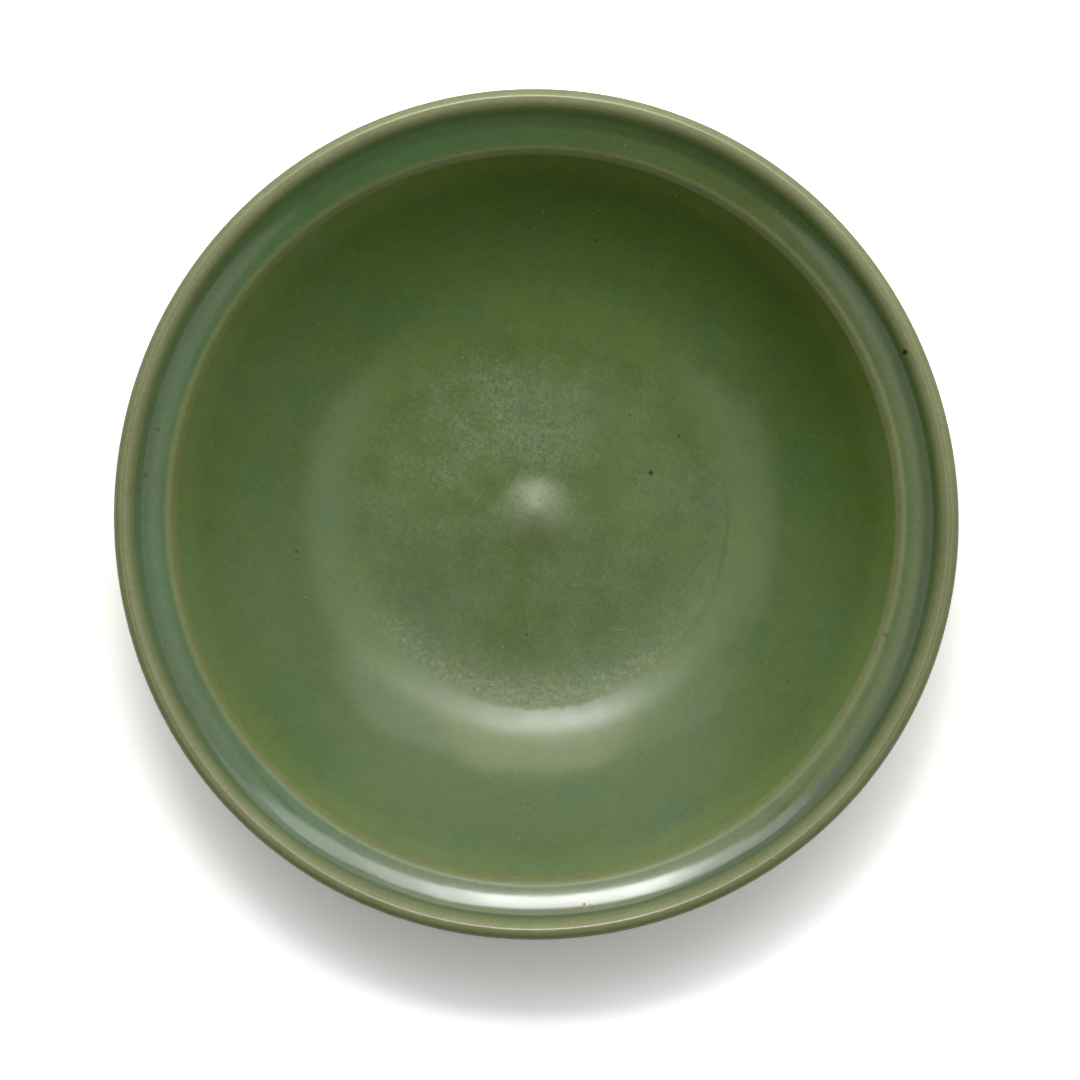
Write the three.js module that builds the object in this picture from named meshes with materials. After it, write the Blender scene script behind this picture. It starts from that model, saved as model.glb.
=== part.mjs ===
import * as THREE from "three";

// A wheel-thrown stoneware dish with a flanged rim and a thick green glaze.
// Millimetres, +Z up. The origin is the middle of the plane that the foot stands on.

// Overall sizes, with the glaze on
const RIM_RADIUS = 110;
const HEIGHT = 45;

// Rim of the clay body
const LIP_RADIUS = 1.8; // rounding of the rolled lip
const LIP_STAND = 3.4; // rise of the lip above the flange at its foot
const LIP_LEAN = 58; // degrees, slope of the lip's inner flank
const LIP_FOOT_ROUNDING = 6; // hollow where the flange meets the lip
const FLANGE_SLOPE = 9.5; // degrees
const RIDGE_RADIUS = 95.4; // where the flange turns down into the well
const RIDGE_ROUNDING = 2;
const RIDGE_WALL = 4.3; // clay between the ridge and the shoulder under it
const SHOULDER_ROUNDING = 5; // hollow under the flange

// Well of the clay body
const FLAT_RADIUS = 33; // level middle of the floor
const BASE_THICKNESS = 6.2; // floor above the recess
const BOSS_RADIUS = 11.4; // low swelling that the thrower left in the middle
const BOSS_HEIGHT = 2;

// Foot ring of the clay body
const FOOT_RADIUS = 58.5; // outside, at the top of the ring
const FOOT_HEIGHT = 7.4; // outside, from the table to the wall
const FOOT_TAPER = 5; // degrees, both sides of the ring
const FOOT_WIDTH = 6.4; // at the table, before its edges are cut
const FOOT_BEVEL = 1; // outer edge
const FOOT_INNER_BEVEL = 0.6;
const FOOT_ROUNDING = 1.8; // hollow between ring and wall
const WALL_FLARE = 22; // degrees, slope of the wall where it leaves the ring
const RECESS_DEPTH = 6;
const RECESS_ROUNDING = 1.5;

// Thickness of the glaze: it runs thin on edges and lies thick in hollows
const GLAZE_BOSS = 0.75;
const GLAZE_FLOOR = 0.9;
const GLAZE_WALL = 0.75; // high in the well
const GLAZE_RIDGE = 0.4;
const GLAZE_POOL = 0.85; // on the flange, against the lip
const GLAZE_LIP = 0.4;
const GLAZE_OUTSIDE = 0.8;
const GLAZE_ROLL = 1; // thick roll above the bare foot
const GLAZE_BASE = 0.6;
const GLAZE_LINE = 2.2; // height at which the glaze stops outside
const GLAZE_LINE_INSIDE = 2.6; // and within the ring
const GLAZE_ROUND = 0.7; // length over which its edge rounds off

const FINISHES = {
  clay: { color: "#8c5a36", roughness: 0.85 },
  coat: { color: "#66794c", roughness: 0.2 },
  base: { color: "#6d7f57", roughness: 0.25 },
};

// Facets
const TURNS = 52; // around the axis, a multiple of four
const STEPS = {
  boss: 4,
  well: 8,
  ridge: 3,
  lipFoot: 3,
  lipFlank: 3,
  lipBrow: 4,
  lipUnder: 3,
  shoulder: 2,
  wall: 5,
  foot: 2,
};

const radians = THREE.MathUtils.degToRad;

// A point of the section: x is the distance from the axis and y the height.
const at = (radius, height) => new THREE.Vector2(radius, height);

// The direction that rises outwards at a slope.
const rising = (slope) => at(Math.cos(slope), Math.sin(slope));

const floorHeight = RECESS_DEPTH + BASE_THICKNESS;
const flangeSlope = radians(FLANGE_SLOPE);
const lipLean = radians(LIP_LEAN);
const wallFlare = radians(WALL_FLARE);
const footTaper = Math.tan(radians(FOOT_TAPER));

// Corners of the section, before they are rounded
const lipCentre = at(RIM_RADIUS - GLAZE_LIP - LIP_RADIUS, HEIGHT - GLAZE_LIP - LIP_RADIUS);
const lipTangent = lipCentre.clone()
  .add(at(-Math.sin(lipLean), Math.cos(lipLean)).multiplyScalar(LIP_RADIUS));
const lipDrop = LIP_STAND - (lipCentre.y + LIP_RADIUS - lipTangent.y);
const lipFoot = lipTangent.clone()
  .addScaledVector(rising(lipLean), -lipDrop / Math.sin(lipLean));
const ridge = at(
  RIDGE_RADIUS,
  lipFoot.y - (lipFoot.x - RIDGE_RADIUS) * Math.tan(flangeSlope),
);
const wellRise = ridge.y - floorHeight;
const wellRun = RIDGE_RADIUS - FLAT_RADIUS;
const wellRadius = (wellRun ** 2 + wellRise ** 2) / (2 * wellRise);
const wellSlope = Math.asin(wellRun / wellRadius);
const shoulder = ridge.clone()
  .add(rising((wellSlope + flangeSlope) / 2 - Math.PI / 2)
    .multiplyScalar(RIDGE_WALL / Math.cos((wellSlope - flangeSlope) / 2)));
const footTop = at(FOOT_RADIUS, FOOT_HEIGHT);
const footOuter = at(FOOT_RADIUS - FOOT_HEIGHT * footTaper, 0);
const footInner = at(footOuter.x - FOOT_WIDTH, 0);
const recessCorner = at(footInner.x - RECESS_DEPTH * footTaper, RECESS_DEPTH);

// The underside of the flange touches the lip, and the wall runs from shoulder to foot.
const toLip = lipCentre.clone().sub(shoulder);
const undersideSlope = toLip.angle() - Math.asin(LIP_RADIUS / toLip.length());
const toShoulder = shoulder.clone().sub(footTop);
const wallChord = toShoulder.angle();
const wallRadius = toShoulder.length() / (2 * Math.sin(wallChord - wallFlare));
const wallSlope = 2 * wallChord - wallFlare;
const wallFacet = (wallRadius * (wallSlope - wallFlare)) / STEPS.wall;
const wellFacet = (wellRadius * wellSlope) / STEPS.well;

// Points along an arc about a centre, from one angle to another.
function arc(centre, radius, from, to, steps) {
  const curve = new THREE.EllipseCurve(
    centre.x, centre.y, radius, radius, from, to, to < from,
  );
  return curve.getPoints(steps);
}

// The corner of an outline, replaced by an arc that touches both of its sides. The arc
// is made smaller where the shorter side has no room for it.
function rounded(before, corner, after, wantedRadius, steps) {
  const back = before.clone().sub(corner);
  const on = after.clone().sub(corner);
  const half = back.angleTo(on) / 2;
  const room = Math.min(back.length(), on.length());
  const reach = Math.min(wantedRadius / Math.tan(half), room);
  const radius = reach * Math.tan(half);
  const start = back.setLength(reach);
  const end = on.setLength(reach);
  const toCentre = start.clone().add(end).setLength(radius / Math.sin(half));
  const centre = corner.clone().add(toCentre);
  start.sub(toCentre);
  end.sub(toCentre);
  const turn = start.angleTo(end) * Math.sign(start.cross(end));
  return arc(centre, radius, start.angle(), start.angle() + turn, steps);
}

// Stations of the section: points with the thickness of glaze that lies on each,
// easing from the first to the last.
function laid(points, glazeFrom, glazeTo = glazeFrom) {
  const last = Math.max(points.length - 1, 1);
  return points.map((point, i) => {
    const share = THREE.MathUtils.smoothstep(i, 0, last);
    return { point, glaze: THREE.MathUtils.lerp(glazeFrom, glazeTo, share) };
  });
}

// The boss: a raised cosine that runs out level into the floor.
function bossPoints() {
  return Array.from({ length: STEPS.boss + 1 }, (_, i) => {
    const share = i / STEPS.boss;
    const rise = (BOSS_HEIGHT * (1 + Math.cos(Math.PI * share))) / 2;
    return at(BOSS_RADIUS * share, floorHeight + rise);
  });
}

// The well: level floor, then one arc up to the ridge.
function wellPoints() {
  const centre = at(FLAT_RADIUS, floorHeight + wellRadius);
  const down = -Math.PI / 2;
  return arc(centre, wellRadius, down, down + wellSlope, STEPS.well).slice(0, -1);
}

function ridgePoints() {
  const before = ridge.clone().addScaledVector(rising(wellSlope), -wellFacet);
  return rounded(before, ridge, lipFoot, RIDGE_ROUNDING, STEPS.ridge);
}

function lipFootPoints() {
  return rounded(ridge, lipFoot, lipTangent, LIP_FOOT_ROUNDING, STEPS.lipFoot);
}

// The rolled lip, from its inner flank over the crest to the underside of the flange.
function lipPoints() {
  const up = Math.PI / 2;
  const flank = arc(lipCentre, LIP_RADIUS, up + lipLean, up, STEPS.lipFlank);
  const brow = arc(lipCentre, LIP_RADIUS, up, 0, STEPS.lipBrow);
  const under = arc(lipCentre, LIP_RADIUS, 0, undersideSlope - up, STEPS.lipUnder);
  return [...flank, ...brow.slice(1), ...under.slice(1)];
}

function shoulderPoints() {
  const underside = Math.sqrt(toLip.lengthSq() - LIP_RADIUS ** 2);
  const before = shoulder.clone().addScaledVector(rising(undersideSlope), underside);
  const after = shoulder.clone().addScaledVector(rising(wallSlope), -wallFacet);
  return rounded(before, shoulder, after, SHOULDER_ROUNDING, STEPS.shoulder);
}

// The outside wall: one arc from the shoulder down to the foot.
function wallPoints() {
  const toFoot = at(Math.sin(wallFlare), -Math.cos(wallFlare)).multiplyScalar(wallRadius);
  const centre = footTop.clone().sub(toFoot);
  const down = -Math.PI / 2;
  return arc(centre, wallRadius, down + wallSlope, down + wallFlare, STEPS.wall).slice(1, -1);
}

function footTopPoints() {
  const before = footTop.clone().addScaledVector(rising(wallFlare), wallFacet);
  return rounded(before, footTop, footOuter, FOOT_ROUNDING, STEPS.foot);
}

// A point on a side of the foot ring, at a height.
const onOuterSide = (height) => at(footOuter.x + height * footTaper, height);
const onInnerSide = (height) => at(footInner.x - height * footTaper, height);

// The clay under the main coat, from the middle of the well to the glaze line.
function coatedStations() {
  return [
    ...laid(bossPoints(), GLAZE_BOSS, GLAZE_FLOOR),
    ...laid(wellPoints(), GLAZE_FLOOR, GLAZE_WALL),
    ...laid(ridgePoints(), GLAZE_RIDGE),
    ...laid(lipFootPoints(), GLAZE_POOL, GLAZE_LIP),
    ...laid(lipPoints().slice(1), GLAZE_LIP),
    ...laid(shoulderPoints(), GLAZE_OUTSIDE),
    ...laid(wallPoints(), GLAZE_OUTSIDE, GLAZE_ROLL),
    ...laid(footTopPoints(), GLAZE_ROLL),
    ...laid([onOuterSide(GLAZE_LINE + GLAZE_ROUND)], GLAZE_ROLL),
    ...laid([onOuterSide(GLAZE_LINE)], 0),
  ];
}

// The bare rim of the foot ring.
function bareStations() {
  const rim = [
    onOuterSide(FOOT_BEVEL),
    at(footOuter.x - FOOT_BEVEL, 0),
    at(footInner.x + FOOT_INNER_BEVEL, 0),
    onInnerSide(FOOT_INNER_BEVEL),
  ];
  return laid(rim, 0);
}

// The clay under the glaze of the base, from inside the foot ring to the axis.
function baseStations() {
  const middle = at(0, RECESS_DEPTH);
  const corner = rounded(footInner, recessCorner, middle, RECESS_ROUNDING, STEPS.foot);
  return [
    ...laid([onInnerSide(GLAZE_LINE_INSIDE)], 0),
    ...laid([onInnerSide(GLAZE_LINE_INSIDE + GLAZE_ROUND)], GLAZE_BASE),
    ...laid([...corner, middle], GLAZE_BASE),
  ];
}

// The surface of the glaze: each station pushed out of the clay by its thickness.
function glazeSurface(section) {
  return section.map(({ point, glaze }, i) => {
    const before = section[Math.max(i - 1, 0)].point;
    const after = section[Math.min(i + 1, section.length - 1)].point;
    const along = after.clone().sub(before).normalize();
    const onAxis = point.x === 0;
    const out = onAxis ? at(0, Math.sign(along.x)) : at(-along.y, along.x);
    return point.clone().addScaledVector(out, glaze);
  });
}

// The faces of a turned form whose quadrangles are all cut along their other diagonal.
// The glaze takes these, so that its inner faces are the very triangles of the clay.
function crossCutFaces(count) {
  const faces = [];
  for (let turn = 0; turn < TURNS; turn++) {
    for (let step = 0; step < count - 1; step++) {
      const here = turn * count + step;
      const there = here + count;
      faces.push(here, there, there + 1, there + 1, here + 1, here);
    }
  }
  return faces;
}

// A section turned about the Z axis. It runs from the axis, over the top, to the axis.
function turned(section, crossCut) {
  const form = new THREE.LatheGeometry(section.toReversed(), TURNS);
  if (crossCut) form.setIndex(crossCutFaces(section.length));
  return form.rotateX(Math.PI / 2);
}

function solid(name, geometry, finish) {
  const material = new THREE.MeshStandardMaterial({ ...finish, metalness: 0 });
  const mesh = new THREE.Mesh(geometry, material);
  mesh.name = name;
  return mesh;
}

const coated = coatedStations();
const base = baseStations();
const stations = [...coated, ...bareStations(), ...base];
const clay = stations.map(({ point }) => point);
const surface = glazeSurface(stations);

function stonewareBody() {
  return solid("stoneware_body", turned(clay, false), FINISHES.clay);
}

// The main coat: out along its surface to the glaze line and back along the clay.
function glazeCoat() {
  const end = coated.length;
  const outline = [...surface.slice(0, end), ...clay.slice(0, end - 1).reverse()];
  return solid("glaze_coat", turned(outline, true), FINISHES.coat);
}

// The glaze of the base: out along the clay to its edge and back along its surface.
function baseGlaze() {
  const start = stations.length - base.length;
  const outline = [...clay.slice(start + 1).reverse(), ...surface.slice(start)];
  return solid("base_glaze", turned(outline, true), FINISHES.base);
}

const dish = new THREE.Group();
dish.add(stonewareBody(), glazeCoat(), baseGlaze());

export default dish;
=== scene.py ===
import math

import bpy
import numpy as np
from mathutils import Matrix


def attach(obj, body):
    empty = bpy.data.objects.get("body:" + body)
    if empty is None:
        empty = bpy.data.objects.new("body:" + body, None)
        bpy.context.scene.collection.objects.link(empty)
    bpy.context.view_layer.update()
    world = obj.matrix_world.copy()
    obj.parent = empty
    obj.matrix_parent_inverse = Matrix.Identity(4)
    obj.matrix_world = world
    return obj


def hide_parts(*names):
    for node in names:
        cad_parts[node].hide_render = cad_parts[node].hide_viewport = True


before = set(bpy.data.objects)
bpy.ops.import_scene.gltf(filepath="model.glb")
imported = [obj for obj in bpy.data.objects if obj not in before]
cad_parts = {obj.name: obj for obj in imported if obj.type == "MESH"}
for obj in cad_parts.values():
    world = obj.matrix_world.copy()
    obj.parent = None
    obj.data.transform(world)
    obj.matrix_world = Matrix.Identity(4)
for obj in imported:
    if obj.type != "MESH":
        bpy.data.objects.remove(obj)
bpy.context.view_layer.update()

# Sizes of the section in millimetres: those of the CAD model, but GLAZE_ROUND is 0.2 more here
RIM_RADIUS, HEIGHT = 110.0, 45.0
LIP_RADIUS, LIP_STAND, LIP_LEAN, LIP_FOOT_ROUNDING = 1.8, 3.4, math.radians(58), 6.0
FLANGE_SLOPE, RIDGE_RADIUS, RIDGE_ROUNDING = math.radians(9.5), 95.4, 2.0
RIDGE_WALL, SHOULDER_ROUNDING = 4.3, 5.0
FLAT_RADIUS, BASE_THICKNESS, BOSS_RADIUS, BOSS_HEIGHT = 33.0, 6.2, 11.4, 2.0
FOOT_RADIUS, FOOT_HEIGHT, FOOT_TAPER, FOOT_WIDTH = 58.5, 7.4, math.tan(math.radians(5)), 6.4
FOOT_BEVEL, FOOT_INNER_BEVEL, FOOT_ROUNDING = 1.0, 0.6, 1.8
WALL_FLARE, RECESS_DEPTH, RECESS_ROUNDING = math.radians(22), 6.0, 1.5
GLAZE_BOSS, GLAZE_FLOOR, GLAZE_WALL, GLAZE_RIDGE = 0.75, 0.9, 0.75, 0.4
GLAZE_POOL, GLAZE_LIP, GLAZE_OUTSIDE, GLAZE_ROLL = 0.85, 0.4, 0.8, 1.0
GLAZE_BASE, GLAZE_LINE, GLAZE_LINE_INSIDE, GLAZE_ROUND = 0.6, 2.2, 2.6, 0.9

UP = math.pi / 2
FINE = 0.05  # spacing of the section's points before it is resampled
TURNS = 268  # steps round the axis
RIDGE_SHARE = 0.87  # of the well's arc, from where the glaze thins towards the ridge
RIDGE_CLEARANCE = 1.0  # between the ridge's corner and the last point of the well's arc
WALL_TOP_GAP, WALL_FOOT_GAP = 60, 30  # points of the wall that its two roundings stand in for
WALL_LEAD, FOOT_LEAD = 15, 5  # from the wall's two corners to the points that aim its roundings

# How the glaze lies in the channel: powers of its rise and fall, radii where it is smoothed more
POOL_RISE, POOL_FALL = 2.4, 2.2
CHANNEL = [97.5, 99.5, 102.5, 104.5]

# Widths of the means that smooth the glaze
DEPTH_WIDTH, CLAY_WIDTH, SURFACE_WIDTH, CHANNEL_WIDTH = 0.9, 0.3, 0.35, 1.0

CREST_BLEND = 2.0  # to each side of the lip's crest, from the inside to the outside
SAG_REACH = 4.0  # above the glaze line, where the glaze follows its wavy edge


def point(radius, height):
    return np.array([radius, height], float)


def rising(angle):
    return np.array([math.cos(angle), math.sin(angle)])


def angle_of(vector):
    return math.atan2(vector[1], vector[0])


def line(start, end):
    count = max(int(np.linalg.norm(end - start) / FINE), 2)
    share = np.linspace(0, 1, count + 1)[:, None]
    return start + (end - start) * share


def arc(centre, radius, start, end):
    count = max(int(abs(end - start) * radius / FINE), 4)
    angles = np.linspace(start, end, count + 1)
    return centre + radius * np.stack([np.cos(angles), np.sin(angles)], axis=1)


def rounded(before, corner, after, wanted):
    """The corner of an outline as an arc that touches both sides, smaller where there is no room."""
    back, on = before - corner, after - corner
    room = min(np.linalg.norm(back), np.linalg.norm(on))
    back, on = back / np.linalg.norm(back), on / np.linalg.norm(on)
    half = math.acos(float(np.clip(back @ on, -1, 1))) / 2
    reach = min(wanted / math.tan(half), room)
    radius = reach * math.tan(half)
    to_centre = back + on
    to_centre *= radius / math.sin(half) / np.linalg.norm(to_centre)
    start, end = back * reach - to_centre, on * reach - to_centre
    turn = angle_of(end) - angle_of(start)
    turn = (turn + math.pi) % (2 * math.pi) - math.pi
    return arc(corner + to_centre, radius, angle_of(start), angle_of(start) + turn)


# Corners of the section
floor_height = RECESS_DEPTH + BASE_THICKNESS
lip_centre = point(RIM_RADIUS - GLAZE_LIP - LIP_RADIUS, HEIGHT - GLAZE_LIP - LIP_RADIUS)
lip_tangent = lip_centre + LIP_RADIUS * rising(UP + LIP_LEAN)
lip_drop = LIP_STAND - (lip_centre[1] + LIP_RADIUS - lip_tangent[1])
lip_foot = lip_tangent - rising(LIP_LEAN) * lip_drop / math.sin(LIP_LEAN)
ridge = point(RIDGE_RADIUS, lip_foot[1] - (lip_foot[0] - RIDGE_RADIUS) * math.tan(FLANGE_SLOPE))
well_rise, well_run = ridge[1] - floor_height, RIDGE_RADIUS - FLAT_RADIUS
well_radius = (well_run**2 + well_rise**2) / (2 * well_rise)
well_slope = math.asin(well_run / well_radius)
well_centre = point(FLAT_RADIUS, floor_height + well_radius)
shoulder = ridge + rising((well_slope + FLANGE_SLOPE) / 2 - UP) * (
    RIDGE_WALL / math.cos((well_slope - FLANGE_SLOPE) / 2)
)
foot_top = point(FOOT_RADIUS, FOOT_HEIGHT)
foot_outer = point(FOOT_RADIUS - FOOT_HEIGHT * FOOT_TAPER, 0)
foot_inner = point(foot_outer[0] - FOOT_WIDTH, 0)
recess_corner = point(foot_inner[0] - RECESS_DEPTH * FOOT_TAPER, RECESS_DEPTH)
to_lip = lip_centre - shoulder
underside_slope = angle_of(to_lip) - math.asin(LIP_RADIUS / np.linalg.norm(to_lip))
to_shoulder = shoulder - foot_top
wall_chord = angle_of(to_shoulder)
wall_radius = np.linalg.norm(to_shoulder) / (2 * math.sin(wall_chord - WALL_FLARE))
wall_slope = 2 * wall_chord - WALL_FLARE
wall_centre = foot_top + wall_radius * rising(WALL_FLARE + UP)
below_shoulder = shoulder - rising(wall_slope) * WALL_LEAD
above_foot = foot_top + rising(WALL_FLARE) * FOOT_LEAD


def on_outer_side(height):
    return point(foot_outer[0] + height * FOOT_TAPER, height)


def on_inner_side(height):
    return point(foot_inner[0] - height * FOOT_TAPER, height)


def boss():
    share = np.linspace(0, 1, int(BOSS_RADIUS / FINE) + 1)
    rise = BOSS_HEIGHT * (1 + np.cos(math.pi * share)) / 2
    return np.stack([BOSS_RADIUS * share, floor_height + rise], axis=1)


def coated_pieces():
    """The clay under the main glaze from the axis to the glaze line, piece by piece, each with
    the thickness of glaze at its start and at its end."""
    edge = point(BOSS_RADIUS, floor_height)
    flat = point(FLAT_RADIUS, floor_height)
    turn = -UP + well_slope * RIDGE_SHARE
    well = arc(well_centre, well_radius, -UP, turn)
    well_top = arc(well_centre, well_radius, turn, -UP + well_slope)
    ridge_arc = rounded(well_top[0], ridge, lip_foot, RIDGE_ROUNDING)
    short_of_ridge = well_top[np.linalg.norm(well_top - ridge, axis=1) > RIDGE_CLEARANCE]
    channel_arc = rounded(ridge, lip_foot, lip_tangent, LIP_FOOT_ROUNDING)
    lip_arc = arc(lip_centre, LIP_RADIUS, UP + LIP_LEAN, underside_slope - UP)
    shoulder_arc = rounded(lip_arc[-1], shoulder, below_shoulder, SHOULDER_ROUNDING)
    wall = arc(wall_centre, wall_radius, -UP + wall_slope, -UP + WALL_FLARE)
    wall = wall[WALL_TOP_GAP:-WALL_FOOT_GAP]
    foot_arc = rounded(above_foot, foot_top, foot_outer, FOOT_ROUNDING)
    over_line = on_outer_side(GLAZE_LINE + GLAZE_ROUND)
    return [
        (boss(), GLAZE_BOSS, GLAZE_FLOOR),
        (line(edge, flat), GLAZE_FLOOR, GLAZE_FLOOR),
        (well, GLAZE_FLOOR, GLAZE_WALL),
        (short_of_ridge, GLAZE_WALL, GLAZE_RIDGE),
        (ridge_arc, GLAZE_RIDGE, GLAZE_RIDGE),
        (line(ridge_arc[-1], channel_arc[0]), GLAZE_RIDGE, GLAZE_POOL),
        (channel_arc, GLAZE_POOL, GLAZE_LIP),
        (lip_arc, GLAZE_LIP, GLAZE_LIP),
        (line(lip_arc[-1], shoulder_arc[0]), GLAZE_LIP, GLAZE_OUTSIDE),
        (shoulder_arc, GLAZE_OUTSIDE, GLAZE_OUTSIDE),
        (wall, GLAZE_OUTSIDE, GLAZE_ROLL),
        (foot_arc, GLAZE_ROLL, GLAZE_ROLL),
        (line(foot_arc[-1], over_line), GLAZE_ROLL, GLAZE_ROLL),
        (line(over_line, on_outer_side(GLAZE_LINE)), GLAZE_ROLL, 0),
    ]


def base_pieces():
    """The same for the base's glaze, from the axis to the glaze line inside the foot ring."""
    middle = point(0, RECESS_DEPTH)
    corner = rounded(foot_inner, recess_corner, middle, RECESS_ROUNDING)[::-1]
    over_line = on_inner_side(GLAZE_LINE_INSIDE + GLAZE_ROUND)
    return [
        (line(corner[0], middle)[::-1], GLAZE_BASE, GLAZE_BASE),
        (corner, GLAZE_BASE, GLAZE_BASE),
        (line(over_line, corner[-1])[::-1], GLAZE_BASE, GLAZE_BASE),
        (line(on_inner_side(GLAZE_LINE_INSIDE), over_line)[::-1], GLAZE_BASE, 0),
    ]


def bare_foot():
    """The foot ring's bare rim, from glaze line to glaze line."""
    corners = [
        on_outer_side(GLAZE_LINE),
        on_outer_side(FOOT_BEVEL),
        point(foot_outer[0] - FOOT_BEVEL, 0),
        point(foot_inner[0] + FOOT_INNER_BEVEL, 0),
        on_inner_side(FOOT_INNER_BEVEL),
        on_inner_side(GLAZE_LINE_INSIDE),
    ]
    return np.concatenate([line(a, b) for a, b in zip(corners, corners[1:])])


def steps_of(outline):
    return np.linalg.norm(np.diff(outline, axis=0), axis=1)


def read_at(places, measure, outline, values):
    """The outline and its values at places given in a measure that grows along it."""
    columns = [outline[:, 0], outline[:, 1], *values]
    read = [np.interp(places, measure, column) for column in columns]
    return np.stack(read[:2], 1), read[2:]


def even(outline, *values):
    """The outline at an even spacing, with the values that go with its points."""
    keep = np.r_[True, steps_of(outline) > 1e-6]
    outline, values = outline[keep], [v[keep] for v in values]
    length = np.r_[0, np.cumsum(steps_of(outline))]
    places = np.linspace(0, length[-1], int(length[-1] / FINE) + 1)
    return read_at(places, length, outline, values)


def resampled(outline, spacing, *values):
    """Fewer points of an outline, at a spacing that is given for each of its points."""
    steps = steps_of(outline)
    between = np.interp(np.arange(len(steps)) + 0.5, np.arange(len(outline)), spacing)
    count = np.r_[0, np.cumsum(steps / between)]
    places = np.linspace(0, count[-1], int(count[-1]) + 1)
    return read_at(places, count, outline, values)


def smoothed(values, width, odd=False):
    """A Gaussian mean along the outline. The start mirrors at the axis and the end stays put."""
    reach = int(4 * width / FINE)
    kernel = np.exp(-0.5 * (np.arange(-reach, reach + 1) * FINE / width) ** 2)
    kernel /= kernel.sum()
    head = values[1 : reach + 1][::-1] * (-1 if odd else 1)
    tail = 2 * values[-1] - values[-reach - 1 : -1][::-1]
    return np.convolve(np.r_[head, values, tail], kernel, "valid")


def smoothed_outline(outline, width):
    return np.stack([smoothed(outline[:, 0], width, odd=True), smoothed(outline[:, 1], width)], 1)


def eased(share, start, end):
    """How far the thickness of glaze has gone from a piece's start to its end."""
    if end == 0:
        return 1 - np.sqrt(np.clip(1 - share**2, 0, 1))
    if end == GLAZE_POOL:
        return share**POOL_RISE
    if start == GLAZE_POOL:
        return share**POOL_FALL
    return share * share * (3 - 2 * share)


def laid(pieces, side=1):
    """The outline of the clay, its glaze's thickness and its glaze's surface. Side is 1 where the
    glaze lies to the left of the outline and -1 where it lies to the right."""
    outlines, depths = [], []
    for outline, start, end in pieces:
        share = np.linspace(0, 1, len(outline))
        outlines.append(outline)
        depths.append(start + (end - start) * eased(share, start, end))
    clay, (depth,) = even(np.concatenate(outlines), np.concatenate(depths))
    left = np.arange(len(clay))[::-1] * FINE
    hold = np.clip(1 - left / (2 * GLAZE_ROUND), 0, 1)
    depth = smoothed(depth, DEPTH_WIDTH) * (1 - hold) + depth * hold
    along = np.gradient(smoothed_outline(clay, CLAY_WIDTH), axis=0)
    along /= np.linalg.norm(along, axis=1)[:, None]
    surface = clay + side * np.stack([-along[:, 1], along[:, 0]], 1) * depth[:, None]
    soft = smoothed_outline(surface, SURFACE_WIDTH)
    softer = smoothed_outline(surface, CHANNEL_WIDTH)
    channel = np.interp(clay[:, 0], CHANNEL, [0, 1, 1, 0]) * (clay[:, 1] > ridge[1])
    soft += (softer - soft) * channel[:, None]
    surface = soft * (1 - hold)[:, None] + surface * hold[:, None]
    surface[0, 0] = 0
    return clay, depth, surface


def warp(phi):
    """How far the lip of this hand-thrown dish leaves a true circle, in millimetres."""
    return (
        -0.392 * np.cos(2 * phi) - 0.175 * np.sin(2 * phi)
        + 0.134 * np.cos(3 * phi) - 0.274 * np.sin(3 * phi)
        - 0.148 * np.cos(4 * phi) - 0.096 * np.sin(4 * phi)
    )


def edge_wave(phi):
    """The height of the glaze's wavy lower edge over the glaze line, in millimetres."""
    return 0.3 * np.sin(3 * phi + 1.1) + 0.22 * np.sin(7 * phi) + 0.12 * np.sin(16 * phi + 2)


def turned(outline, sag):
    """Vertices and faces of an outline turned about Z, in metres. Sag is how far each of its
    points follows the wavy edge of the glaze."""
    phi = np.arange(TURNS) * 2 * math.pi / TURNS
    radius, height = outline[:, 0][:, None], outline[:, 1][:, None]
    drop = sag[:, None] * edge_wave(phi)
    radius = radius + drop * FOOT_TAPER
    radius = radius + warp(phi) * (radius / RIM_RADIUS) ** 4
    at = np.stack([radius * np.cos(phi), radius * np.sin(phi), height + drop], 2) / 1000
    poles = [i for i in (0, len(outline) - 1) if outline[i, 0] < 1e-6]
    index, vertices = np.zeros((len(outline), TURNS), int), []
    for i, ring in enumerate(at):
        if i in poles:
            index[i] = len(vertices)
            vertices.append(ring[0])
        else:
            index[i] = len(vertices) + np.arange(TURNS)
            vertices.extend(ring)
    faces = []
    for here, there in zip(index, index[1:]):
        for k in range(TURNS):
            j = (k + 1) % TURNS
            face = [int(here[k]), int(there[k]), int(there[j]), int(here[j])]
            faces.append([v for n, v in enumerate(face) if v not in face[:n]])
    return np.array(vertices), faces, index


def make_piece(name, outline, material, values=None, sag=None):
    """A turned piece. Values are the numbers that its material reads, one for each point."""
    sag = np.zeros(len(outline)) if sag is None else sag
    vertices, faces, index = turned(outline, sag)
    mesh = bpy.data.meshes.new(name)
    mesh.from_pydata(vertices.tolist(), [], faces)
    for key, value in (values or {}).items():
        spread = np.zeros(len(vertices), np.float32)
        for ring, v in zip(index, value):
            spread[ring] = v
        mesh.attributes.new(key, "FLOAT", "POINT").data.foreach_set("value", spread)
    mesh.validate()
    mesh.shade_smooth()
    mesh.materials.append(material)
    piece = bpy.data.objects.new(name, mesh)
    bpy.context.scene.collection.objects.link(piece)
    return piece


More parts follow.
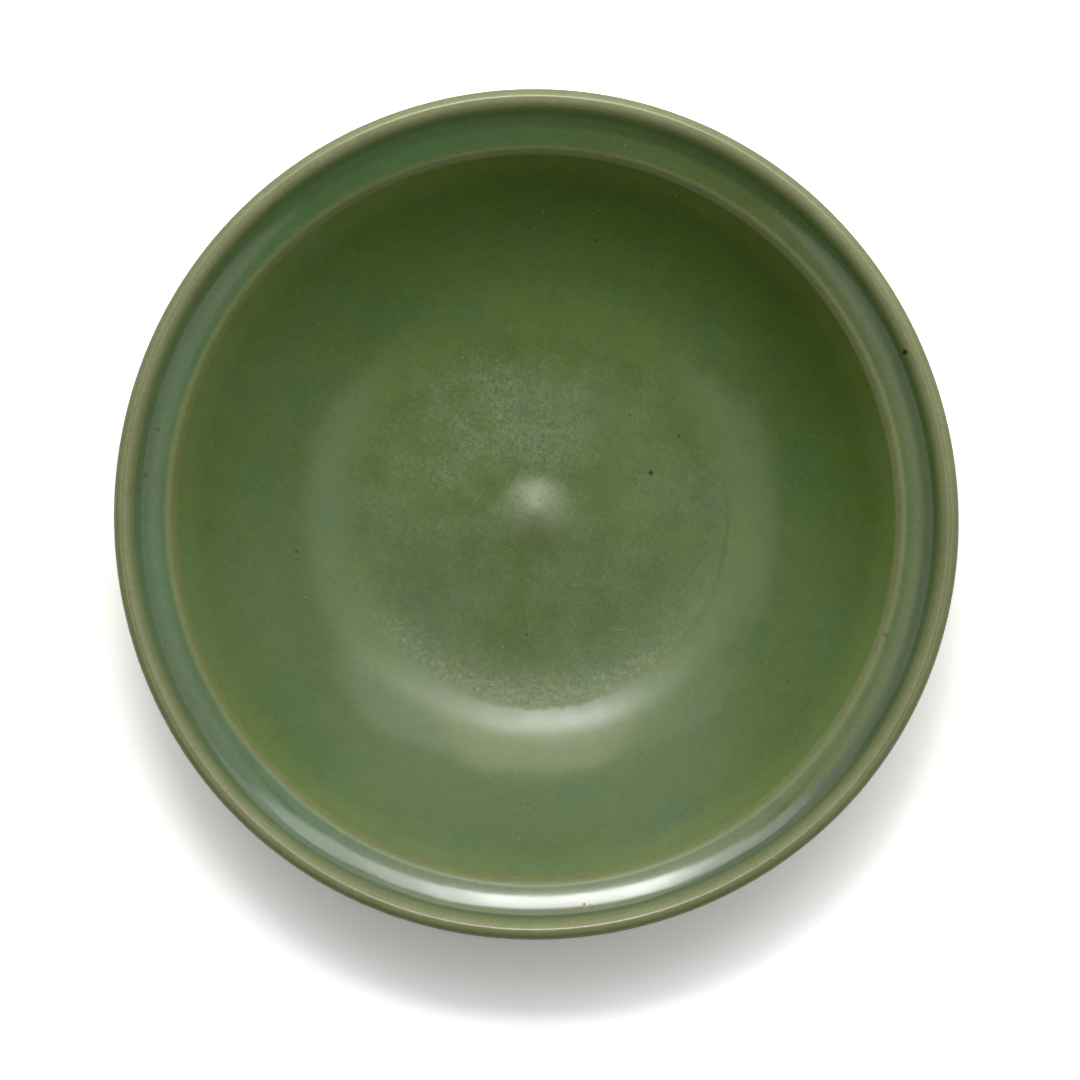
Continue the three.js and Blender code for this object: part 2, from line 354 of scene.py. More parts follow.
class Graph:
    """Builds a material's nodes. Values can be numbers, colours or sockets."""

    def __init__(self, name):
        self.material = bpy.data.materials.new(name)
        self.material.use_nodes = True
        self.tree = self.material.node_tree
        self.tree.nodes.clear()
        self.object = self.node("ShaderNodeTexCoord").outputs["Object"]

    def node(self, kind, **settings):
        made = self.tree.nodes.new(kind)
        for key, value in settings.items():
            setattr(made, key, value)
        return made

    def feed(self, socket, value):
        if isinstance(value, bpy.types.NodeSocket):
            self.tree.links.new(value, socket)
        elif isinstance(value, (tuple, list)) and socket.type == "RGBA":
            socket.default_value = (*value, 1)
        else:
            socket.default_value = value

    def math(self, operation, first, second=0.0):
        made = self.node("ShaderNodeMath", operation=operation)
        self.feed(made.inputs[0], first)
        self.feed(made.inputs[1], second)
        return made.outputs[0]

    def chain(self, operation, values):
        result = values[0]
        for value in values[1:]:
            result = self.math(operation, result, value)
        return result

    def times(self, *values):
        return self.chain("MULTIPLY", values)

    def plus(self, *values):
        return self.chain("ADD", values)

    def largest(self, *values):
        return self.chain("MAXIMUM", values)

    def minus(self, first, second):
        return self.math("SUBTRACT", first, second)

    def vector(self, operation, first, second=(0, 0, 0), scale=None):
        made = self.node("ShaderNodeVectorMath", operation=operation)
        self.feed(made.inputs[0], first)
        self.feed(made.inputs[1], second)
        if scale is not None:
            self.feed(made.inputs["Scale"], scale)
        return made.outputs["Value" if operation in ("LENGTH", "DISTANCE", "DOT_PRODUCT") else 0]

    def span(self, value, low, high, to_low=0.0, to_high=1.0, kind="SMOOTHSTEP"):
        made = self.node("ShaderNodeMapRange", interpolation_type=kind, clamp=True)
        for socket, x in zip(made.inputs, (value, low, high, to_low, to_high)):
            self.feed(socket, x)
        return made.outputs[0]

    def mix(self, share, first, second, blend="MIX"):
        made = self.node("ShaderNodeMix", data_type="RGBA", blend_type=blend)
        self.feed(made.inputs[0], share)
        self.feed(made.inputs[6], first)
        self.feed(made.inputs[7], second)
        return made.outputs[2]

    def noise(self, at, size, detail=2.0, roughness=0.5, distortion=0.0):
        """Noise whose features are about size metres across."""
        made = self.node("ShaderNodeTexNoise")
        self.feed(made.inputs["Vector"], at)
        self.feed(made.inputs["Scale"], 1 / size)
        self.feed(made.inputs["Detail"], detail)
        self.feed(made.inputs["Roughness"], roughness)
        self.feed(made.inputs["Distortion"], distortion)
        return made.outputs["Fac"]

    def cells(self, size, output):
        made = self.node("ShaderNodeTexVoronoi")
        self.feed(made.inputs["Vector"], self.object)
        self.feed(made.inputs["Scale"], 1 / size)
        return made.outputs[output]

    def dots(self, size, solid, end, chosen):
        """Round dots in some cells of a pattern. Solid and end are radii as shares of a cell's
        size, and the cells' chance number has to be over chosen."""
        dot = self.span(self.cells(size, "Distance"), solid, end, 1, 0)
        return self.times(dot, self.span(self.cells(size, "Color"), chosen, chosen + 0.02))

    def placed(self, at, turn=0.0, stretch=(1, 1, 1), shift=(0, 0, 0)):
        made = self.node("ShaderNodeMapping")
        self.feed(made.inputs["Vector"], at)
        made.inputs["Location"].default_value = shift
        made.inputs["Rotation"].default_value = (0, 0, turn)
        made.inputs["Scale"].default_value = stretch
        return made.outputs[0]

    def attribute(self, name):
        return self.node("ShaderNodeAttribute", attribute_name=name).outputs["Fac"]

    def bump(self, height, depth, normal=None):
        """A bump whose height of 1 stands for depth metres."""
        made = self.node("ShaderNodeBump")
        self.feed(made.inputs["Height"], height)
        self.feed(made.inputs["Distance"], depth)
        self.feed(made.inputs["Strength"], 1.0)
        if normal is not None:
            self.feed(made.inputs["Normal"], normal)
        return made.outputs[0]

    def finish(self, colour, roughness, normal, ior):
        shader = self.node("ShaderNodeBsdfPrincipled")
        self.feed(shader.inputs["Base Color"], colour)
        self.feed(shader.inputs["Roughness"], roughness)
        self.feed(shader.inputs["Normal"], normal)
        shader.inputs["IOR"].default_value = ior
        out = self.node("ShaderNodeOutputMaterial")
        self.tree.links.new(shader.outputs[0], out.inputs[0])
        return self.material


# Colours, linear
GLAZE_GREEN = (0.104, 0.172, 0.043)
GLAZE_RUBBED = (0.104, 0.168, 0.028)
GLAZE_BLUISH = (0.078, 0.160, 0.056)
GLAZE_WALL_GREEN = (0.094, 0.162, 0.032)
GLAZE_FLANGE = (0.116, 0.170, 0.048)
GLAZE_DEEP = (0.066, 0.110, 0.032)
GLAZE_TEAL = (0.082, 0.172, 0.064)
GLAZE_OLIVE = (0.185, 0.222, 0.072)
# Painted shade for the upper far wall, which faces away from the lamps
GLAZE_PAINTED_SHADE = (0.074, 0.126, 0.021)
GLAZE_PALE = (0.275, 0.296, 0.150)
# Painted light that makes the lip paler towards its far side
GLAZE_PAINTED_LIGHT_PALE = (0.400, 0.430, 0.225)
# Pale of worn glaze, also used for the boss's painted highlight and the painted glint on the worn
# floor's near edge
WEAR_AND_HIGHLIGHT = (0.24, 0.30, 0.16)
SCUFFED = (0.045, 0.075, 0.018)
IRON = (0.026, 0.017, 0.002)
BASE_GREEN, BASE_OLIVE, BASE_THIN = (0.115, 0.170, 0.062), (0.165, 0.185, 0.078), (0.22, 0.15, 0.07)
CLAY_BROWN, CLAY_BUFF, CLAY_POLISHED = (0.27, 0.105, 0.040), (0.36, 0.19, 0.10), (0.42, 0.30, 0.20)
GRIT_DARK, GRIT_PALE = (0.10, 0.045, 0.02), (0.50, 0.36, 0.24)

# What the green is multiplied by just below the ridge, and in a ring round the worn floor
RIDGE_TINT, RING_TINT = (1.58, 1.32, 1.45), (1.22, 1.15, 1.10)

# Ways from the axis, seen from above
TO_FAR, TO_NEAR, TO_LEFT, TO_RIGHT = (0.1, 0.99), (-0.1, -0.99), (-0.97, 0.26), (0.93, -0.36)
# The way in which the ridge turns paler, and the way of the far wall's painted shade
TO_PALER_RIDGE, TO_PAINTED_SHADE_WALL = (0.8, 0.6), (0.5, 0.87)

WORN_RADIUS = 50.0  # of the worn floor, in millimetres
MOST_WORN = (-0.0105, 0.0210, 0)  # place beyond the boss that is worn most, in metres
LEAST_RUBBED = 0.42  # how rubbed the rest of the worn floor is beside that place
SCRATCH_WIDTH, SCRATCH_LENGTH = 0.00024, 0.0020
SCRATCH_TURNS = (0.2, 0.8, 1.4, 2.0, 2.6)  # ways that the fine scratches run, in radians

# Long scratches: middle in millimetres, degrees round, length, strength
SCRATCHES = [
    (-13.5, -43.3, 0, 12.5, 0.45), (21.6, -29.8, 0, 4.6, 0.5), (34.6, -25.1, -38, 4.6, 0.5),
    (-11.9, -68.5, -45, 7.0, 0.25), (15.7, -40.6, -40, 2.2, 0.5), (4.4, -66.0, -30, 4.0, 0.25),
]

# Iron specks, and two nicks painted dark for their shade: x and y in millimetres, diameter, strength
SPECKS = [
    (30.1, 11.2, 1.6, 1.0), (37.4, 20.8, 0.8, 0.8), (24.6, 26.3, 0.7, 0.7), (-2.3, -31.1, 0.8, 0.7),
    (-3.9, -40.4, 0.7, 0.6), (-16.1, -45.3, 0.7, 0.5), (-62.4, -9.3, 1.0, 0.6), (-101.2, 10.4, 1.3, 0.6),
    (-97.9, 22.3, 1.3, 0.5), (95.6, 42.3, 1.6, 0.9), (65.5, -43.2, 0.8, 0.5), (-0.5, -76.2, 0.9, 0.4),
    (15.5, 71.8, 0.8, 0.7), (1.0, 4.0, 0.9, 0.5), (2.8, 0.6, 0.7, 0.4), (107.0, 15.6, 1.0, 0.6),
    # The nick in the ridge and the nick in the lip, painted dark as their shade
    (90.7, -31.0, 1.5, 0.5), (76.2, -78.0, 1.0, 0.4),
]
SPECK_CORE, SPECK_END = 0.00022, 0.00062  # radii of a speck 1 mm across, in metres

# Depths of the glaze's relief in metres
PEEL_DEPTH, PINHOLE_DEPTH, SCRATCH_DEPTH, FROST_DEPTH = 0.000009, 0.00005, 0.000004, 0.000020
BASE_PEEL_DEPTH, BASE_PIT_DEPTH, GRIT_DEPTH = 0.00004, 0.0001, 0.00012

SATIN = 0.08  # roughness of the glaze where nothing dulls it
GLAZE_IOR, BASE_IOR, CLAY_IOR = 1.6, 1.5, 1.45


class Glaze(Graph):
    """The green glaze's graph, with the places and patterns that its parts share. Radius is in
    millimetres, and so is depth, the glaze's thickness with a little mottle. Inside is 1 up to
    the lip's crest and 0 beyond it."""

    def __init__(self):
        super().__init__("green_glaze")
        at = self.object
        self.flat = self.vector("MULTIPLY", at, (1, 1, 0))
        self.outward = self.vector("NORMALIZE", self.flat)
        self.radius = self.times(self.vector("LENGTH", self.flat), 1000)
        self.inside = self.attribute("inside")
        self.clouds = self.noise(at, 0.045, 3.0, 0.55)
        self.patches = self.noise(at, 0.014, 5.0, 0.65)
        self.mottle = self.noise(at, 0.006, 4.0, 0.6)
        self.dust = self.noise(at, 0.0013, 4.0, 0.7)
        self.depth = self.plus(self.attribute("depth"), self.times(self.minus(self.mottle, 0.5), 0.02))
        self.on_ridge = self.times(self.thinner(0.412, 0.455), self.within(95.3, 96.3))
        self.pinholes = self.dots(0.0042, 0.045, 0.09, 0.72)
        self.set_wear(at)

    def beyond(self, start, end, most=1.0):
        return self.span(self.radius, start, end, 0, most)

    def within(self, start, end, most=1.0):
        return self.span(self.radius, start, end, most, 0)

    def thinner(self, full, end):
        return self.span(self.depth, full, end, 1, 0)

    def towards(self, way, start, end, most=1.0):
        """From 0 to most as the way from the axis turns to this one, by the cosine between them."""
        cosine = self.vector("DOT_PRODUCT", self.outward, (*way, 0))
        return self.span(cosine, start, end, 0, most)

    def set_wear(self, at):
        """The worn floor of the well: its ragged edge, how rubbed it is, scratches and frost, and a
        painted glint on its near edge.
        """
        ragged = self.span(self.noise(at, 0.003, 5.0, 0.75), 0.3, 0.7, -0.9, 0.9, "LINEAR")
        self.edge = self.plus(self.radius, ragged)
        worn = self.span(self.edge, WORN_RADIUS - 2, WORN_RADIUS + 2, 1, 0)
        worn = self.times(worn, self.inside)
        most = self.span(self.vector("DISTANCE", self.flat, MOST_WORN), 0.010, 0.030, 1, 0)
        # The worn floor's near edge: more wear there, and partly a painted glint of scratches catching
        # the lamps
        near_edge_wear_and_glint = self.times(self.towards(TO_NEAR, 0.45, 0.9), self.beyond(38, 48))
        most = self.times(self.largest(most, near_edge_wear_and_glint), 1 - LEAST_RUBBED)
        self.rubbed = self.times(self.plus(LEAST_RUBBED, most), worn)
        self.near_side = self.towards(TO_NEAR, -0.2, 0.5)
        streaks = [self.strokes(turn, number) for number, turn in enumerate(SCRATCH_TURNS)]
        in_patches = self.span(self.patches, 0.35, 0.62, 0.25, 1.0)
        self.scratched = self.times(self.largest(*streaks), self.rubbed, in_patches)
        grains = self.span(self.dust, 0.46, 0.64)
        # Frost grains on the near edge, painted pale partly as their glint in the lamps
        self.frost_and_glint = self.times(grains, near_edge_wear_and_glint, worn, self.span(self.edge, 40, 48, 0, 0.55))

    def strokes(self, turn, number):
        """Fine short strokes that all run one way. Number sets them apart from other strokes."""
        turned_about = self.placed(self.object, turn, (1, 1, 0), (0.13 * number, 0.31 * number, 0))
        way = self.placed(turned_about, 0, (SCRATCH_WIDTH / SCRATCH_LENGTH, 1, 1))
        return self.span(self.noise(way, SCRATCH_WIDTH * 2.2, 2.0, 0.5, 0.3), 0.59, 0.69)

    def long_scratch(self, x, y, turn, length):
        """One straight scratch about a point. Lengths are in millimetres."""
        turn = math.radians(turn)
        away = self.vector("SUBTRACT", self.flat, (x / 1000, y / 1000, 0))
        ways = (math.cos(turn), math.sin(turn), 0), (-math.sin(turn), math.cos(turn), 0)
        along, aside = [self.math("ABSOLUTE", self.vector("DOT_PRODUCT", away, way)) for way in ways]
        on = self.span(along, length * 0.0004, length * 0.0005, 1, 0)
        return self.times(on, self.span(aside, 0.00006, 0.00020, 1, 0))


def wall_green(g):
    """The green of thick glaze: yellower on the floor, with painted shade high up on the far wall."""
    green = g.mix(g.beyond(62, 84), GLAZE_GREEN, GLAZE_WALL_GREEN)
    green = g.mix(g.within(44, 56), green, GLAZE_RUBBED)
    bluish = g.span(g.noise(g.object, 0.020, 5.0, 0.65), 0.46, 0.68, 0, 0.60)
    green = g.mix(bluish, green, GLAZE_BLUISH)
    # Painted shade: the upper far wall is darkened, as it faces away from the lamps
    painted_shade = g.times(g.towards(TO_PAINTED_SHADE_WALL, 0.3, 1.0), g.beyond(66, 88))
    green = g.mix(painted_shade, green, GLAZE_PAINTED_SHADE)
    ring = g.times(g.beyond(44, 50), g.within(54, 66))
    green = g.mix(ring, green, RING_TINT, "MULTIPLY")
    below_ridge = g.times(g.span(g.radius, 86, 95.5, kind="LINEAR"), g.inside)
    return g.mix(below_ridge, green, RIDGE_TINT, "MULTIPLY")


def with_flange(g, green):
    """The flange: teal patches on its left, and a deep green where the glaze pools."""
    left = g.towards(TO_LEFT, -0.35, 0.55)
    teal = g.times(left, g.span(g.clouds, 0.3, 0.7, 0.5, 1.0))
    green = g.mix(g.beyond(95.6, 97), green, g.mix(teal, GLAZE_FLANGE, GLAZE_TEAL))
    pool = g.times(g.span(g.depth, 0.56, 0.78), g.beyond(97, 99), g.inside)
    return g.mix(g.times(pool, g.minus(1, g.times(left, 0.5))), green, GLAZE_DEEP)


def with_thin_edges(g, colour):
    """Olive and buff where the glaze is thin: on the ridge, on the lip and outside. The lip's far side
    is paler still with painted light.
    """
    ridge_colour = g.mix(g.towards(TO_PALER_RIDGE, -0.3, 0.6, 0.45), GLAZE_OLIVE, GLAZE_PALE)
    colour = g.mix(g.on_ridge, colour, ridge_colour)
    on_lip = g.beyond(101.5, 103.5)
    colour = g.mix(g.times(g.thinner(0.54, 0.68), on_lip), colour, GLAZE_OLIVE)
    # Painted light: the lip turns paler towards its far side, whose inner face looks away from the lamps
    lip_colour_with_painted_light = g.mix(g.towards(TO_FAR, -0.1, 0.9), GLAZE_PALE, GLAZE_PAINTED_LIGHT_PALE)
    colour = g.mix(g.times(g.thinner(0.43, 0.56), on_lip), colour, lip_colour_with_painted_light)
    return g.mix(g.times(g.minus(1, g.inside), 0.6), colour, GLAZE_OLIVE)


def with_wear(g, colour):
    """The floor of the well, worn to a haze of fine scratches, and a painted highlight on the boss."""
    # Painted highlight: a pale glow over the boss
    colour = g.mix(g.within(2, 14, 0.62), colour, WEAR_AND_HIGHLIGHT)
    haze = g.span(g.plus(g.patches, g.times(g.dust, 0.7)), 0.74, 0.96)
    haze = g.times(g.rubbed, haze, 0.24)
    # Haze, scratches and frost in the worn pale, with painted glint on the near edge
    colour = g.mix(g.plus(haze, g.times(g.scratched, 0.50), g.frost_and_glint), colour, WEAR_AND_HIGHLIGHT)
    pits = g.noise(g.placed(g.object, 0, (1, 1, 1), (0.7, 0.2, 0)), 0.0011, 3.0, 0.6)
    scuffs = g.largest(g.strokes(0.5, 7), g.strokes(1.8, 8), g.span(pits, 0.56, 0.66))
    dark = g.times(scuffs, g.rubbed, g.span(g.patches, 0.35, 0.60, 0.25, 0.60))
    colour = g.mix(dark, colour, SCUFFED)
    off_edge = g.math("ABSOLUTE", g.minus(g.edge, WORN_RADIUS + 0.2))
    edge_line = g.times(g.span(off_edge, 0.15, 0.8, 0.28, 0), g.towards(TO_RIGHT, 0.80, 0.97), g.inside)
    colour = g.mix(edge_line, colour, SCUFFED)
    for x, y, turn, length, strength in SCRATCHES:
        colour = g.mix(g.times(g.long_scratch(x, y, turn, length), strength), colour, WEAR_AND_HIGHLIGHT)
    return colour


def with_clouds(g, colour):
    """Clouding, mottle and grain within the glaze. The floor is a little darker on its near side."""
    grain = g.noise(g.object, 0.0011, 3.0, 0.6)
    tone = g.plus(
        g.span(g.clouds, 0.25, 0.75, 0.92, 1.07, "LINEAR"),
        g.span(g.mottle, 0.2, 0.8, -0.08, 0.08, "LINEAR"),
        g.span(grain, 0.2, 0.8, -0.13, 0.13, "LINEAR"),
        g.times(g.span(g.near_side, 0, 1, 0.10, -0.05, "LINEAR"), g.within(38, 48)),
    )
    return g.vector("SCALE", colour, scale=tone)


def with_marks(g, colour):
    """Pinholes, iron specks, and the painted shade of two nicks."""
    small = g.dots(0.0021, 0.05, 0.11, 0.74)
    colour = g.mix(g.times(g.largest(g.pinholes, small), 0.55), colour, WEAR_AND_HIGHLIGHT)
    spots = []
    for x, y, size, strength in SPECKS:
        away = g.vector("DISTANCE", g.flat, (x / 1000, y / 1000, 0))
        spots.append(g.span(away, size * SPECK_CORE, size * SPECK_END, strength, 0))
    return g.mix(g.times(g.largest(*spots), g.inside), colour, IRON)


def glaze_roughness(g):
    """Satin on the walls, duller towards the floor, dullest where it is worn, and on the ridge."""
    dulled = g.times(g.span(g.radius, 49, 60, 1, 0.5), g.inside, g.within(60, 84))
    on_boss = g.within(6.5, 11)
    at_edge = g.span(g.edge, WORN_RADIUS - 0.4, WORN_RADIUS + 1.2, 1, 0)
    grazed = g.mix(g.near_side, g.within(38, 56), at_edge)
    grazed = g.times(grazed, g.minus(1, on_boss), g.inside)
    return g.plus(
        SATIN,
        g.times(dulled, 0.17),
        g.times(grazed, g.span(g.patches, 0.3, 0.7, 0.10, 0.20)),
        g.times(on_boss, 0.10),
        g.span(g.mottle, 0.3, 0.7, 0.0, 0.03),
        g.times(g.on_ridge, 0.22),
        g.beyond(103.5, 106, 0.10),
        g.times(g.beyond(93.5, 95.0), g.within(96.3, 99.5, 0.18), g.inside),
    )


def glaze_relief(g):
    """The glaze's uneven surface, pinholes, scratches and frost."""
    normal = g.bump(g.noise(g.object, 0.0045, 2.0, 0.5), PEEL_DEPTH)
    normal = g.bump(g.minus(0, g.pinholes), PINHOLE_DEPTH, normal)
    normal = g.bump(g.scratched, SCRATCH_DEPTH, normal)
    return g.bump(g.times(g.frost_and_glint, g.dust), FROST_DEPTH, normal)


def glaze_material():
    g = Glaze()
    colour = wall_green(g)
    for add in (with_flange, with_thin_edges, with_wear, with_clouds, with_marks):
        colour = add(g, colour)
    return g.finish(colour, glaze_roughness(g), glaze_relief(g), GLAZE_IOR)


def base_material():
    g = Graph("base_glaze")
    clouds = g.noise(g.object, 0.02, 4.0, 0.6)
    grain = g.noise(g.object, 0.0012, 3.0, 0.6)
    pits = g.dots(0.0035, 0.05, 0.12, 0.7)
    colour = g.mix(g.span(clouds, 0.35, 0.65), BASE_GREEN, BASE_OLIVE)
    colour = g.mix(g.span(g.attribute("depth"), 0.15, 0.5, 1, 0), colour, BASE_THIN)
    colour = g.mix(g.times(pits, 0.7), colour, IRON)
    colour = g.vector("SCALE", colour, scale=g.span(grain, 0.2, 0.8, 0.9, 1.1, "LINEAR"))
    normal = g.bump(g.noise(g.object, 0.005, 3.0, 0.5), BASE_PEEL_DEPTH)
    normal = g.bump(g.minus(0, pits), BASE_PIT_DEPTH, normal)
    return g.finish(colour, g.span(clouds, 0.3, 0.7, 0.18, 0.32), normal, BASE_IOR)


def clay_material():
    g = Graph("fired_clay")
    clouds = g.noise(g.object, 0.012, 4.0, 0.6)
    grit = g.noise(g.object, 0.0007, 4.0, 0.7)
    colour = g.mix(g.span(clouds, 0.3, 0.7), CLAY_BROWN, CLAY_BUFF)
    colour = g.mix(g.span(grit, 0.58, 0.70, 0, 0.6), colour, GRIT_DARK)
    colour = g.mix(g.span(grit, 0.42, 0.32, 0, 0.5), colour, GRIT_PALE)
    place = g.node("ShaderNodeSeparateXYZ")
    g.feed(place.inputs[0], g.object)
    standing = g.span(place.outputs["Z"], 0.0, 0.0006, 1, 0)
    colour = g.mix(g.times(standing, 0.45), colour, CLAY_POLISHED)
    roughness = g.span(grit, 0.3, 0.7, 0.65, 0.9)
    return g.finish(colour, roughness, g.bump(grit, GRIT_DEPTH), CLAY_IOR)


def spacing_of(outline, rim, wide, foot):
    """A fine spacing on the rim and at the foot, wider elsewhere."""
    near_rim = np.clip((outline[:, 0] - 88) / 5, 0, 1)
    near_foot = np.clip((8.5 - outline[:, 1]) / 2, 0, 1)
    spacing = wide + (rim - wide) * near_rim
    return spacing + (foot - spacing) * near_foot


def make_coat():
    """The main glaze, and the outline of the clay under it."""
    clay, depth, surface = laid(coated_pieces())
    number = np.arange(len(surface))
    past_crest = (number - int(np.argmax(surface[:, 1]))) * FINE
    inside = np.clip((CREST_BLEND - past_crest) / (2 * CREST_BLEND), 0, 1)
    sag = np.clip(1 - number[::-1] * FINE / SAG_REACH, 0, 1) ** 2
    outer, (depth, inside, outer_sag) = resampled(
        surface, spacing_of(surface, 0.32, 1.15, 0.35), depth, inside, sag
    )
    inner, (inner_sag,) = resampled(clay, spacing_of(clay, 1.0, 4.0, 1.0), sag)
    outline = np.concatenate([outer[:-1], inner[::-1]])
    values = {
        "depth": np.r_[depth[:-1], np.zeros(len(inner))],
        "inside": np.r_[inside[:-1], np.ones(len(inner))],
    }
    sag = np.r_[outer_sag[:-1], inner_sag[::-1]]
    return make_piece("glaze_coat_fine", outline, glaze_material(), values, sag), inner


def make_base():
    """The glaze inside the foot ring, and the outline of the clay over it."""
    clay, depth, surface = [part[::-1] for part in laid(base_pieces(), side=-1)]
    outer, (depth,) = resampled(surface, spacing_of(surface, 1.0, 1.0, 0.7), depth)
    inner, _ = resampled(clay, spacing_of(clay, 2.0, 2.0, 1.5))
    outline = np.concatenate([inner[::-1], outer[1:]])
    values = {"depth": np.r_[np.zeros(len(inner)), depth[1:]]}
    return make_piece("base_glaze_fine", outline, base_material(), values), inner


def make_body(under_coat, over_base):
    foot = bare_foot()
    foot, _ = resampled(foot, np.full(len(foot), 0.3))
    foot[0], foot[-1] = under_coat[-1], over_base[0]
    outline = np.concatenate([under_coat[:-1], foot, over_base[1:]])
    return make_piece("stoneware_body_fine", outline, clay_material())


coat, under_coat = make_coat()
base, over_base = make_base()
body = make_body(under_coat, over_base)

for piece, node, slot in (
    (coat, "glaze_coat", "green_glaze"),
    (base, "base_glaze", "base_glaze"),
    (body, "stoneware_body", "fired_clay"),
):
    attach(piece, "root")
    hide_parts(node)

# The floor's grey level, and the level that the camera sees on top of it
FLOOR_WHITE, FLOOR_GAIN = 0.8, 1.55
FLOOR_HALF = 12.0


def floor_material():
    material = bpy.data.materials.new("white_floor")
    material.use_nodes = True
    tree = material.node_tree
    tree.nodes.clear()
    path = tree.nodes.new("ShaderNodeLightPath")
    plain = tree.nodes.new("ShaderNodeBsdfDiffuse")
    extra = tree.nodes.new("ShaderNodeBsdfDiffuse")
    for shader, level in ((plain, FLOOR_WHITE), (extra, FLOOR_GAIN)):
        shader.inputs["Color"].default_value = (level, level, level, 1)
    seen = tree.nodes.new("ShaderNodeAddShader")
    choose = tree.nodes.new("ShaderNodeMixShader")
    out = tree.nodes.new("ShaderNodeOutputMaterial")
    link = tree.links.new
    link(plain.outputs[0], seen.inputs[0])
    link(extra.outputs[0], seen.inputs[1])
    link(path.outputs["Is Camera Ray"], choose.inputs[0])
    link(plain.outputs[0], choose.inputs[1])
    link(seen.outputs[0], choose.inputs[2])
    link(choose.outputs[0], out.inputs[0])
    return material


def make_floor():
    mesh = bpy.data.meshes.new("floor")
    signs = ((-1, -1), (1, -1), (1, 1), (-1, 1))
    mesh.from_pydata([(x * FLOOR_HALF, y * FLOOR_HALF, 0) for x, y in signs], [], [(0, 1, 2, 3)])
    mesh.materials.append(floor_material())
    floor = bpy.data.objects.new("floor", mesh)
    bpy.context.scene.collection.objects.link(floor)


LAMP_HEIGHT = 2.2
WHITE, WARM = (1.0, 1.0, 1.0), (1.0, 0.90, 0.62)

# Softboxes over the dish: name, x from, x to, y from, y to, brightness, colour. The strips stand
# for one tube that is brightest in its middle.
LAMPS = [
    ("strip", -0.36, 0.15, 0.90, 1.08, 17.5, WHITE),
    ("strip_high", -0.36, 0.15, 1.08, 1.20, 13.0, WHITE),
    ("strip_1", -0.46, -0.36, 0.90, 1.22, 9.0, WHITE),
    ("strip_2", 0.15, 0.30, 0.90, 1.22, 10.0, WHITE),
    ("strip_3", -0.62, -0.46, 0.85, 1.17, 4.4, WHITE),
    ("strip_4", 0.30, 0.46, 0.85, 1.17, 6.0, WHITE),
    ("strip_5", -0.80, -0.62, 0.78, 1.10, 3.0, WHITE),
    ("strip_6", 0.46, 0.80, 0.78, 1.10, 4.0, WHITE),
    ("panel", -0.62, 0.62, 1.20, 2.20, 2.2, WARM),
    ("inner", -0.55, 0.50, 0.42, 0.90, 1.2, WHITE),
    ("corner_right", 0.80, 1.30, 0.78, 1.10, 1.50, WHITE),
    ("corner_left", -1.30, -0.80, 0.78, 1.10, 0.70, WHITE),
    ("right", 0.65, 1.12, -0.80, 0.78, 0.85, WHITE),
    ("right_far", 1.12, 1.50, -0.80, 0.78, 0.60, WHITE),
    ("left", -1.05, -0.65, -0.80, 0.78, 0.95, WHITE),
    ("left_far", -1.80, -1.05, -0.80, 0.78, 0.60, WHITE),
    ("back_left", -1.70, -0.62, 1.10, 2.00, 0.55, WHITE),
    ("back_right", 0.62, 1.60, 1.10, 2.00, 0.95, WHITE),
    ("front", -1.00, 1.00, -1.60, -0.65, 0.10, WHITE),
    ("front_left", -2.00, -1.00, -1.60, -0.65, 0.12, WHITE),
]


def make_lamps():
    for name, x0, x1, y0, y1, brightness, colour in LAMPS:
        lamp = bpy.data.lights.new(name, "AREA")
        lamp.shape = "RECTANGLE"
        lamp.size, lamp.size_y = x1 - x0, y1 - y0
        lamp.energy = brightness * math.pi * lamp.size * lamp.size_y
        lamp.color = colour
        holder = bpy.data.objects.new(name, lamp)
        holder.location = ((x0 + x1) / 2, (y0 + y1) / 2, LAMP_HEIGHT)
        holder.visible_camera = False
        bpy.context.scene.collection.objects.link(holder)


# The room: an even level and soft glows, each with its degrees round from +X, its degrees down
# from straight above, and its brightness
ROOM_LEVEL = 0.02
GLOWS = [(0, 60, 0.28), (45, 60, 0.38), (90, 60, 0.78), (135, 60, 0.36)]
GLOW_EDGE = 0.65  # cosine of the angle from its middle at which a glow ends


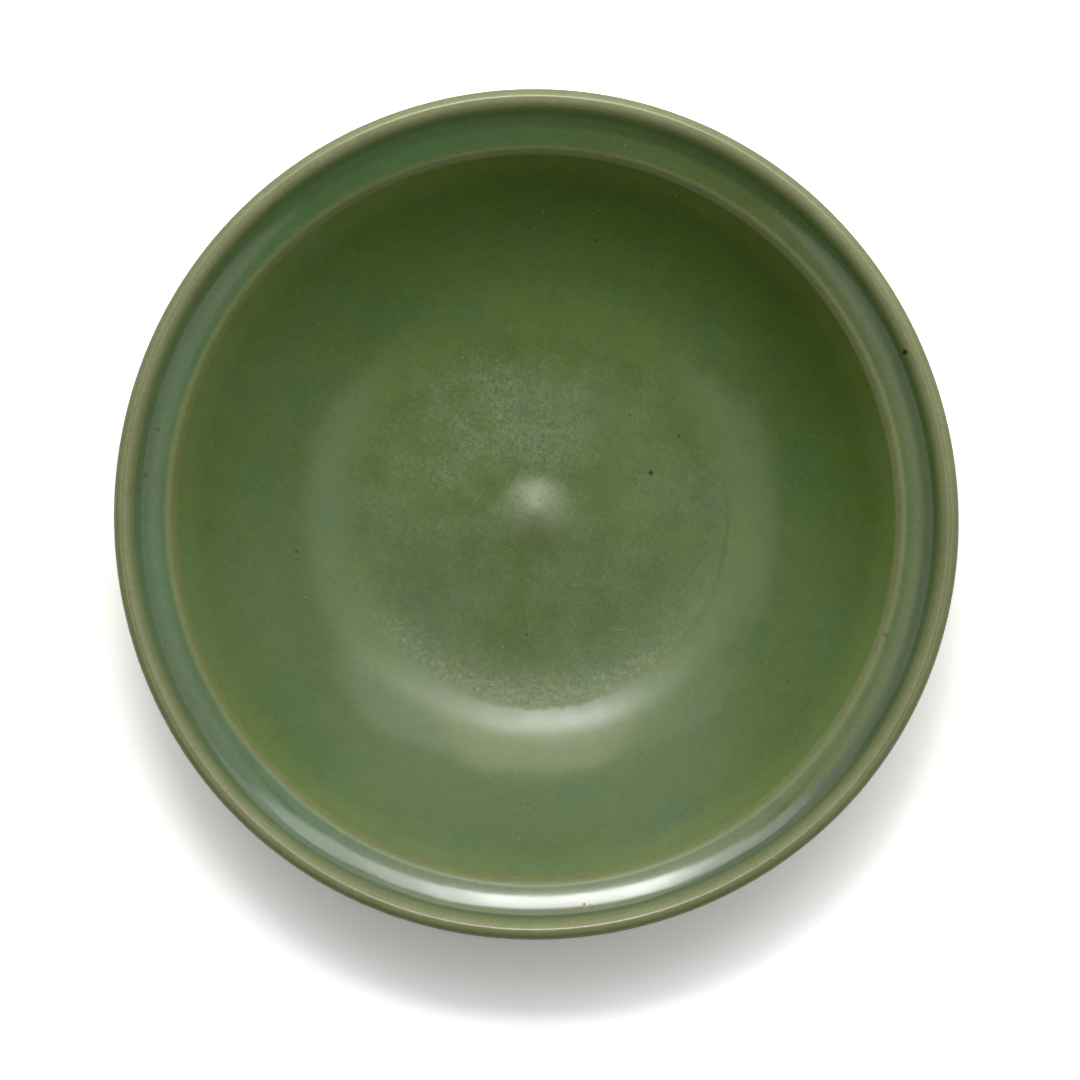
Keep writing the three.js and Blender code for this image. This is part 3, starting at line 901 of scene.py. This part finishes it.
def glow_light(tree, azimuth, tilt, brightness):
    """The light of one glow in each direction."""
    azimuth, tilt = math.radians(azimuth), math.radians(tilt)
    middle = (math.sin(tilt) * math.cos(azimuth), math.sin(tilt) * math.sin(azimuth), math.cos(tilt))
    way = tree.nodes.new("ShaderNodeTexCoord")
    towards = tree.nodes.new("ShaderNodeVectorMath")
    towards.operation = "DOT_PRODUCT"
    towards.inputs[1].default_value = middle
    glow = tree.nodes.new("ShaderNodeMapRange")
    glow.interpolation_type = "SMOOTHSTEP"
    for socket, value in zip(glow.inputs[1:5], (GLOW_EDGE, 1.0, 0.0, brightness)):
        socket.default_value = value
    tree.links.new(way.outputs["Generated"], towards.inputs[0])
    tree.links.new(towards.outputs["Value"], glow.inputs[0])
    return glow.outputs[0]


def room_light(tree):
    """The even level with all glows added."""
    level = None
    for glow in GLOWS:
        total = tree.nodes.new("ShaderNodeMath")
        tree.links.new(glow_light(tree, *glow), total.inputs[0])
        if level is None:
            total.inputs[1].default_value = ROOM_LEVEL
        else:
            tree.links.new(level, total.inputs[1])
        level = total.outputs[0]
    return level


def make_world():
    """A room with a window side. The camera sees it white."""
    world = bpy.data.worlds.new("room")
    world.use_nodes = True
    tree = world.node_tree
    tree.nodes.clear()
    path = tree.nodes.new("ShaderNodeLightPath")
    room = tree.nodes.new("ShaderNodeBackground")
    white = tree.nodes.new("ShaderNodeBackground")
    for background in (room, white):
        background.inputs["Color"].default_value = (1, 1, 1, 1)
    choose = tree.nodes.new("ShaderNodeMixShader")
    out = tree.nodes.new("ShaderNodeOutputWorld")
    link = tree.links.new
    link(room_light(tree), room.inputs["Strength"])
    link(path.outputs["Is Camera Ray"], choose.inputs[0])
    link(room.outputs[0], choose.inputs[1])
    link(white.outputs[0], choose.inputs[2])
    link(choose.outputs[0], out.inputs[0])
    bpy.context.scene.world = world


def make_camera():
    """Straight above, where the rim's plane is 280 mm wide in the picture."""
    height, rim_plane, width = 3.0, 0.042, 0.2798
    off_x, off_y = 0.00109, -0.00637
    data = bpy.data.cameras.new("camera")
    data.sensor_width = 36
    data.lens = data.sensor_width * (height - rim_plane) / width
    data.clip_start, data.clip_end = 0.1, 100
    camera = bpy.data.objects.new("camera", data)
    camera.location = (off_x, off_y, height)
    bpy.context.scene.collection.objects.link(camera)
    bpy.context.scene.camera = camera


make_floor()
make_lamps()
make_world()
make_camera()
bpy.context.scene.view_settings.view_transform = "Standard"
